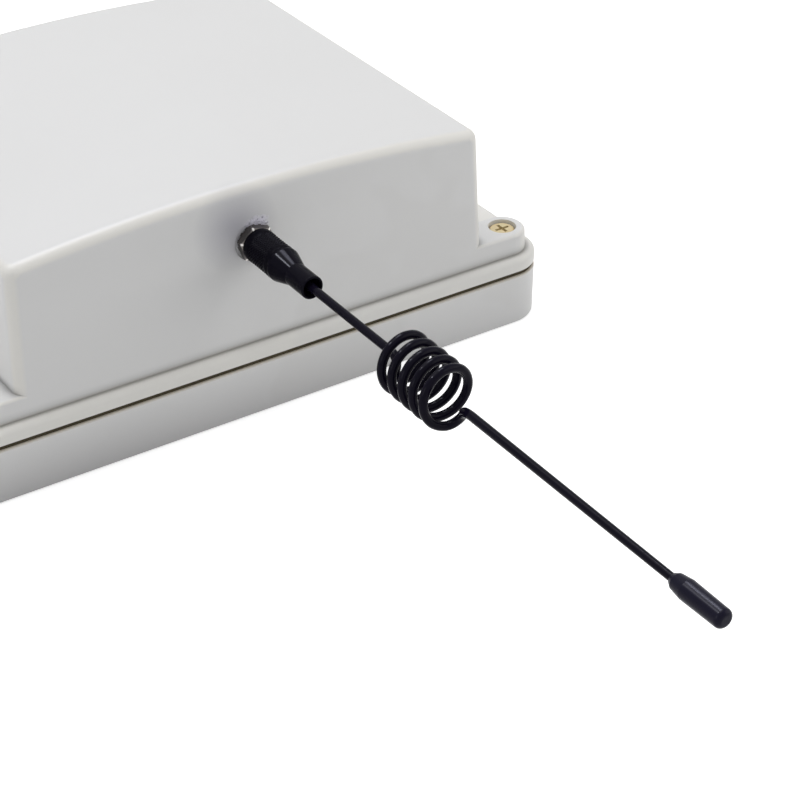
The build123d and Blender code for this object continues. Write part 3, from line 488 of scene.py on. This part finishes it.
metalSetup = {
    "driftSpread": 0.3,
    "grainScale": 3000.0,
    "ringScale": 2600.0,
    "metallic": {"screw_zinc": 0.12},  # all others are 1
}

# The nut's corners are painted bright at its front, as painted glints: the least and most cosine of six times
# the angle away from a corner, and where the front starts (mm)
nutPaintedGlints = {"tone": (0.62, 0.60, 0.58), "near": (0.90, 1.00), "past": -56.55}


# Paints bright glints on the nut's front corners
def paintNutGlints(tree, place, colour, setup):
    axes = addNode(tree, "SeparateXYZ", {0: place}).outputs
    across = addNode(tree, "CombineXYZ", {"X": axes["X"], "Y": axes["Z"]}).outputs[0]
    spoke = reckonVector(tree, "SUBTRACT", across, (antenna["x"] * mm, antenna["z"] * mm, 0))
    legs = addNode(tree, "SeparateXYZ", {0: spoke}).outputs
    angle = reckon(tree, "ARCTAN2", legs["Y"], legs["X"])
    sides = antenna["nutSides"]
    sixfold = reckon(tree, "MULTIPLY_ADD", angle, sides, -sides * math.radians(antenna["nutTurn"]))
    corner = carry(tree, reckon(tree, "COSINE", sixfold), *setup["near"])
    front = reckon(tree, "LESS_THAN", axes["Y"], setup["past"] * mm)
    return blend(tree, reckon(tree, "MULTIPLY", corner, front), colour, setup["tone"])


# Lathe rings round the antenna's axis, which is turned upright and moved to the middle for them
def ringsAt(tree, place, scale):
    move = {"Location": (-antenna["x"] * mm, antenna["z"] * mm, 0), "Rotation": (math.pi / 2, 0, 0)}
    upright = addNode(tree, "Mapping", {"Vector": place, **move}).outputs[0]
    return useGroup(tree, "turnedRings", {"Vector": upright, "Scale": scale})["Height"]


def makeMetal(name, colour, other, roughness, driftScale, stretch, depth, setup):
    material, tree, shader = newMaterial(name)
    place = ownPlace(tree)
    surface = drifting(tree, place, driftScale, colour, other, setup["driftSpread"])
    # painted glints on the nut's front corners
    if name == "nut_steel":
        surface = paintNutGlints(tree, place, surface, nutPaintedGlints)
    if stretch is None:
        height = ringsAt(tree, place, setup["ringScale"])
    else:
        drawn = addNode(tree, "Mapping", {"Vector": place, "Scale": [1 / s for s in stretch]})
        height = grainAt(tree, drawn.outputs[0], setup["grainScale"])
    feed(tree, shader, {
        "Base Color": surface,
        "Metallic": setup["metallic"].get(name, 1.0),
        "Roughness": carry(tree, height, 0, 1, *roughness),
        "Normal": bumped(tree, height, grainStrength, depth),
    })
    return material


# Circuit boards: solder mask over copper tracks, bare round solder points
boardFinishes = {
    "board_laminate": {"mask": (0.010, 0.085, 0.030), "over": (0.020, 0.150, 0.050),
                       "solder": (0.60, 0.60, 0.58), "trackScale": 120.0},
    "module_laminate": {"mask": (0.008, 0.018, 0.085), "over": (0.016, 0.034, 0.150),
                        "solder": (0.72, 0.52, 0.20), "trackScale": 260.0},
}
boardPattern = {
    "tracks": {"Mortar Size": 0.06, "Brick Width": 0.9, "Row Height": 0.22, "Mortar Smooth": 0.2},
    "patchScale": 0.7,
    "patchLeast": 0.46,
    "pointScale": 3,
    "pointSize": 0.16,
    "pointShare": 0.10,
    "roughness": 0.3,
    "strength": 0.5,
    "depth": 0.03,  # mm
}


def makeBoard(name, setup, pattern):
    material, tree, shader = newMaterial(name)
    place = ownPlace(tree)
    scale = setup["trackScale"]
    rows = addNode(tree, "TexBrick", {"Vector": place, "Scale": scale, **pattern["tracks"]})
    patches = addNoise(tree, place, scale * pattern["patchScale"], detail=0.0)
    kept = reckon(tree, "GREATER_THAN", patches, pattern["patchLeast"])
    tracks = reckon(tree, "MULTIPLY", rows.outputs["Fac"], kept)
    dots = {"Vector": place, "Scale": scale * pattern["pointScale"], "Size": pattern["pointSize"],
            "Share": pattern["pointShare"]}
    points = useGroup(tree, "specks", dots)["Mask"]
    cover = blend(tree, tracks, setup["mask"], setup["over"])
    height = reckon(tree, "MAXIMUM", tracks, points)
    feed(tree, shader, {
        "Base Color": blend(tree, points, cover, setup["solder"]),
        "Metallic": points,
        "Roughness": pattern["roughness"],
        "Normal": bumped(tree, height, pattern["strength"], pattern["depth"]),
    })
    return material


# Cell sleeve: plain dark film with a coloured band at one end, steel showing at both ends
cellFinish = {
    "film": (0.020, 0.035, 0.070),
    "band": (0.45, 0.28, 0.05),
    "steel": (0.60, 0.60, 0.60),
    "bandFrom": 12.0,  # mm from the middle of the cells' length
    "filmTo": 24.0,
    "roughness": (0.24, 0.36),
    "grainScale": 500.0,
    "strength": 0.3,
    "depth": 0.02,  # mm
}


def makeCellSleeve(name, setup):
    material, tree, shader = newMaterial(name)
    place = ownPlace(tree)
    low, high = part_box("battery_cells")
    axes = addNode(tree, "SeparateXYZ", {0: place}).outputs
    along = reckon(tree, "SUBTRACT", axes["X"], (low[0] + high[0]) / 2)
    inBand = reckon(tree, "GREATER_THAN", along, setup["bandFrom"] * mm)
    bare = reckon(tree, "GREATER_THAN", reckon(tree, "ABSOLUTE", along), setup["filmTo"] * mm)
    film = blend(tree, inBand, setup["film"], setup["band"])
    height = grainAt(tree, place, setup["grainScale"])
    feed(tree, shader, {
        "Base Color": blend(tree, bare, film, setup["steel"]),
        "Metallic": bare,
        "Roughness": carry(tree, height, 0, 1, *setup["roughness"]),
        "Normal": bumped(tree, height, setup["strength"], setup["depth"]),
    })
    return material


# Diffuse red lens of the status light
lensFinish = {"colour": (0.60, 0.035, 0.025), "other": (0.48, 0.020, 0.015), "scale": 500.0, "spread": 0.25,
              "roughness": 0.25, "transmission": 0.4}


def makeLens(name, setup):
    material, tree, shader = newMaterial(name)
    place = ownPlace(tree)
    feed(tree, shader, {
        "Base Color": drifting(tree, place, setup["scale"], setup["colour"], setup["other"], setup["spread"]),
        "Roughness": setup["roughness"],
        "Transmission Weight": setup["transmission"],
    })
    return material


materials = {name: makeCasePlastic(name, caseFinish) for name in caseFinish["colours"]}
for name, row in mouldedFinishes.items():
    drift = couplingDrift if name == "coupling_black" else mouldedDrift
    materials[name] = makeMoulded(name, *row, drift)
for name, row in metalFinishes.items():
    materials[name] = makeMetal(name, *row, metalSetup)
for name, setup in boardFinishes.items():
    materials[name] = makeBoard(name, setup, boardPattern)
materials["cell_sleeve"] = makeCellSleeve("cell_sleeve", cellFinish)
materials["light_lens"] = makeLens("light_lens", lensFinish)
print("materials ready:", len(materials))


# Shape helpers: the antenna's nuts and washer are turned round its axis, and its wire coils round it
axisPlace = Vector((antenna["x"] * mm, 0, antenna["z"] * mm))
axisWay = Vector((0, 1, 0))


# A profile of (y, radius) corners in mm, spun into a closed skin round the antenna's axis
def turnedShape(shape, profile, segments):
    verts = [shape.verts.new(axisPlace + Vector((0, y * mm, radius * mm))) for y, radius in profile]
    edges = [shape.edges.new(pair) for pair in zip(verts, verts[1:] + verts[:1])]
    bmesh.ops.spin(shape, geom=verts + edges, cent=axisPlace, axis=axisWay, angle=2 * math.pi,
                   steps=segments, use_merge=True)
    bmesh.ops.remove_doubles(shape, verts=shape.verts[:], dist=1e-7)
    bmesh.ops.recalc_face_normals(shape, faces=shape.faces[:])


def fromAxis(place):
    return math.hypot(place.x - axisPlace.x, place.z - axisPlace.z) / mm


def aroundAxis(place):
    return math.atan2(place.x - axisPlace.x, place.z - axisPlace.z)


# Rounds edges by a small bevel, and gives the verts that it leaves
def roundEdges(shape, edges, size):
    return bmesh.ops.bevel(shape, geom=edges, offset=size * mm, offset_type="OFFSET", segments=2,
                           profile=0.5, affect="EDGES", material=-1)["verts"]


# Makes the shape a piece, with sharp edges kept where faces meet at more than the given angle
def finishPiece(shape, name, replaced, body, slotName, sharp):
    for face in shape.faces:
        face.smooth = True
    for edge in shape.edges:
        edge.smooth = len(edge.link_faces) == 2 and edge.calc_face_angle(0) < math.radians(sharp)
    mesh = bpy.data.meshes.new(name)
    shape.to_mesh(mesh)
    shape.free()
    mesh.materials.append(materials[slotName])
    piece = bpy.data.objects.new(name, mesh)
    bpy.context.scene.collection.objects.link(piece)
    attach(piece, body)
    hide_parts(replaced)


# Coupling nut: diamond knurl between a smooth rim and a smooth band, bored through
coupling = {
    "back": -57.207,
    "front": -67.407,
    "radius": 4.1,
    "rimRound": 0.28,
    "rimSteps": (90, 60, 30, 0),  # degrees
    "knurl": (-58.9, -66.3),
    "knurlRows": 18,
    "knurlColumns": 30,
    "knurlDepth": 0.13,
    "slackInward": 0.05,  # how near to the knurl's rows a vert counts as one of theirs
    "slackAlong": 0.01,
    "backBore": 3.3,
    "boreEnd": -62.5,
    "frontBore": 2.62,
    "sharp": 25.0,
}


# How far along and how far in each step of a rounded rim lies from its square corner
def rimSteps(size, steps):
    angles = [math.radians(step) for step in steps]
    return [(size * (1 - math.sin(angle)), size * (1 - math.cos(angle))) for angle in angles]


def couplingProfile(setup, rows):
    back, front, radius = setup["back"], setup["front"], setup["radius"]
    steps = rimSteps(setup["rimRound"], setup["rimSteps"])
    profile = [(back - along, radius - inward) for along, inward in steps]
    profile += [(y, radius) for y in rows]
    profile += [(front + along, radius - inward) for along, inward in reversed(steps)]
    profile += [(front, setup["frontBore"]), (setup["boreEnd"], setup["frontBore"])]
    profile += [(setup["boreEnd"], setup["backBore"]), (back, setup["backBore"])]
    return profile


def makeCouplingNut(setup):
    shape = bmesh.new()
    first, last = setup["knurl"]
    rows = [first + (last - first) * i / setup["knurlRows"] for i in range(setup["knurlRows"] + 1)]
    turnedShape(shape, couplingProfile(setup, rows), 2 * setup["knurlColumns"])
    pitch = rows[0] - rows[1]
    low = []
    for vert in shape.verts:
        y = vert.co.y / mm
        inKnurl = rows[-1] - setup["slackAlong"] < y < rows[0] + setup["slackAlong"]
        if fromAxis(vert.co) < setup["radius"] - setup["slackInward"] or not inKnurl:
            continue
        row = round((rows[0] - y) / pitch)
        column = round(aroundAxis(vert.co) / (math.pi / setup["knurlColumns"]))
        if 0 < row < setup["knurlRows"] and (row + column) % 2:
            low.append(vert)
    for vert in low:
        away = (vert.co - axisPlace) * Vector((1, 0, 1))
        vert.co -= away.normalized() * setup["knurlDepth"] * mm
    bmesh.ops.connect_verts(shape, verts=low)
    finishPiece(shape, "knurled_nut", "coupling_nut", "nut", "coupling_black", setup["sharp"])


# Hex nut: a turned blank with chamfered rims, cut by its six flats
hexNut = {
    "back": -55.137,
    "front": -57.087,
    "flats": 8.0,
    "blank": 4.62,
    "chamfer": 0.30,
    "chamferFoot": 4.02,
    "bore": 3.05,
    "segments": 96,
    "edgeRound": 0.09,
    "cornerLength": 0.8,
    "cornerAngle": 20.0,
    "sharp": 12.0,
}


# Whether two flats meet at this edge, which runs along the nut
def isCorner(edge, setup):
    if len(edge.link_faces) != 2:
        return False
    along = abs((edge.verts[0].co - edge.verts[1].co).y)
    return along > setup["cornerLength"] * mm and edge.calc_face_angle(0) > math.radians(setup["cornerAngle"])


def makeHexNut(setup):
    shape = bmesh.new()
    back, front, bore = setup["back"], setup["front"], setup["bore"]
    rim, foot, rise = setup["blank"], setup["chamferFoot"], setup["chamfer"]
    profile = [(back, bore), (back, foot), (back - rise, rim)]
    profile += [(front + rise, rim), (front, foot), (front, bore)]
    turnedShape(shape, profile, setup["segments"])
    step = 360 / antenna["nutSides"]
    for side in range(antenna["nutSides"]):
        turn = math.radians(antenna["nutTurn"] + step / 2 + step * side)
        outward = Vector((math.cos(turn), 0, math.sin(turn)))
        flat = axisPlace + outward * setup["flats"] / 2 * mm
        everything = shape.verts[:] + shape.edges[:] + shape.faces[:]
        cut = bmesh.ops.bisect_plane(shape, geom=everything, plane_co=flat, plane_no=outward,
                                     clear_outer=True)
        openEdges = [item for item in cut["geom_cut"] if isinstance(item, bmesh.types.BMEdge)]
        bmesh.ops.contextual_create(shape, geom=openEdges)
    bmesh.ops.recalc_face_normals(shape, faces=shape.faces[:])
    roundEdges(shape, [edge for edge in shape.edges if isCorner(edge, setup)], setup["edgeRound"])
    finishPiece(shape, "hex_nut", "panel_nut", "shell", "nut_steel", setup["sharp"])


# Lock washer: a flat ring whose teeth are twisted out of its plane
washer = {
    "back": -54.637,
    "front": -55.137,
    "ringInner": 3.22,
    "ringOuter": 3.72,
    "ringThick": 0.32,
    "segments": 84,
    "teeth": 14,
    "toothWide": 0.85,
    "toothThick": 0.20,
    "toothTo": 4.12,
    "toothRoot": 0.2,
    "toothRound": 0.04,
    "twist": 16.0,
    "sharp": 30.0,
}


def makeWasher(setup):
    shape = bmesh.new()
    middle = (setup["back"] + setup["front"]) / 2
    inner, outer, half = setup["ringInner"], setup["ringOuter"], setup["ringThick"] / 2
    profile = [(middle - half, inner), (middle - half, outer), (middle + half, outer), (middle + half, inner)]
    turnedShape(shape, profile, setup["segments"])
    reach = setup["toothTo"] - outer + setup["toothRoot"]
    for tooth in range(setup["teeth"]):
        made = bmesh.ops.create_cube(shape, size=mm)["verts"]
        bmesh.ops.scale(shape, vec=(setup["toothWide"], setup["toothThick"], reach), verts=made)
        sides = list({edge for vert in made for edge in vert.link_edges})
        made = roundEdges(shape, sides, setup["toothRound"])
        ring = Matrix.Translation(axisPlace + Vector((0, middle * mm, 0)))
        turn = Matrix.Rotation(2 * math.pi * tooth / setup["teeth"], 4, "Y")
        outwards = Matrix.Translation((0, 0, (setup["toothTo"] - reach / 2) * mm))
        twist = Matrix.Rotation(math.radians(setup["twist"]), 4, "Z")
        bmesh.ops.transform(shape, matrix=ring @ turn @ outwards @ twist, verts=made)
    finishPiece(shape, "toothed_washer", "star_washer", "shell", "washer_nickel", setup["sharp"])


# Whip wire: stations with their directions, joined by one smooth curve that thins towards the tip
whip = {
    "start": -71.257,
    "firstTurn": -115.957,
    "end": -210.0,
    "coilRadius": 6.05,
    "pitch": 3.77,
    "turns": 4,
    "leadAngle": 150.0,
    "tailAngle": 165.0,
    "hookAngle": 45.0,
    "hookDrop": 0.35,
    "tailSlant": 4.2,
    "wireRadius": 1.0,
    "thinness": ((-142.0, 1.0), (-146.0, 0.93), (-210.0, 0.86)),
    "leastTurn": 0.001,  # radians
    "roundSteps": 5,
    "lengthSteps": 20,
}


# Places round the axis and directions, in mm: the lead-in, a hook onto the coil, the coil, a hook, the tail
def whipStations(setup):
    reach, drop = setup["coilRadius"], setup["hookDrop"]
    sine = math.sin(math.radians(setup["hookAngle"]))
    share = sine / (1 + sine)
    hook, slant = reach * share, setup["tailSlant"] / reach
    climb = setup["pitch"] / (2 * math.pi)
    first, last = -setup["leadAngle"], 360 * setup["turns"] + setup["tailAngle"]
    along = Vector((0, -1, 0))

    def onCoil(angle):
        turn = math.radians(angle)
        place = Vector((-math.sin(turn) * reach, setup["firstTurn"] - climb * turn, math.cos(turn) * reach))
        way = Vector((-reach * math.cos(turn), -climb, -reach * math.sin(turn)))
        return place, way.normalized()

    def onHook(angle, y, outward, lean):
        turn = math.radians(angle)
        radial = Vector((-math.sin(turn), 0, math.cos(turn)))
        return radial * hook + Vector((0, y, 0)), (radial * outward + Vector((0, -lean, 0))).normalized()

    quarters = math.ceil((last - first) / 90)
    coil = [onCoil(first + (last - first) * i / quarters) for i in range(quarters + 1)]
    leadY = coil[0][0].y + drop
    tailY = coil[-1][0].y - drop - setup["tailSlant"] * (1 - share)
    tailStart = tailY - hook * (slant + math.sqrt(1 + slant ** 2))
    stations = [(Vector((0, setup["start"], 0)), along), (Vector((0, leadY + hook, 0)), along)]
    stations.append(onHook(first - setup["hookAngle"], leadY, 1, 0))
    stations += coil
    stations.append(onHook(last + setup["hookAngle"], tailY, -1, slant))
    stations += [(Vector((0, tailStart, 0)), along), (Vector((0, setup["end"], 0)), along)]
    return stations


def thinnessAt(y, steps):
    if y >= steps[0][0]:
        return steps[0][1]
    for (fromY, fromShare), (toY, toShare) in zip(steps, steps[1:]):
        if toY <= y <= fromY:
            return fromShare + (toShare - fromShare) * (fromY - y) / (fromY - toY)
    return steps[-1][1]


# How long a curve's handles are where it follows an arc between two places and turns by an angle
def handleLength(fromPlace, toPlace, turn):
    return (toPlace - fromPlace).length * 2 / 3 * math.tan(turn / 4) / math.sin(turn / 2)


def makeWhip(setup):
    stations = whipStations(setup)
    data = bpy.data.curves.new("whip", "CURVE")
    data.dimensions = "3D"
    data.bevel_depth = setup["wireRadius"] * mm
    data.bevel_resolution = setup["roundSteps"]
    data.resolution_u = setup["lengthSteps"]
    data.use_fill_caps = True
    points = data.splines.new("BEZIER").bezier_points
    points.add(len(stations) - 1)
    for point, (place, _) in zip(points, stations):
        point.co = axisPlace + place * mm
        point.radius = thinnessAt(place.y, setup["thinness"])
    for index in range(len(stations) - 1):
        fromPoint, toPoint = points[index], points[index + 1]
        fromWay, toWay = stations[index][1], stations[index + 1][1]
        turn = max(fromWay.angle(toWay), setup["leastTurn"])
        handle = handleLength(fromPoint.co, toPoint.co, turn)
        fromPoint.handle_right = fromPoint.co + fromWay * handle
        toPoint.handle_left = toPoint.co - toWay * handle
    for point in points:
        point.handle_left_type = "FREE"
        point.handle_right_type = "FREE"
    points[0].handle_left = points[0].co
    points[-1].handle_right = points[-1].co
    data.materials.append(materials["wire_black"])
    piece = bpy.data.objects.new("coiled_whip", data)
    bpy.context.scene.collection.objects.link(piece)
    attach(piece, "whip")
    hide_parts("whip_wire")


makeCouplingNut(coupling)
makeHexNut(hexNut)
makeWasher(washer)
makeWhip(whip)
print("antenna pieces ready")

for entry in frame["record"]["subparts"]:
    mesh = nodes[entry["node"]].data
    mesh.materials.clear()
    mesh.materials.append(materials[entry["material_slot"]])
print("CAD nodes finished")
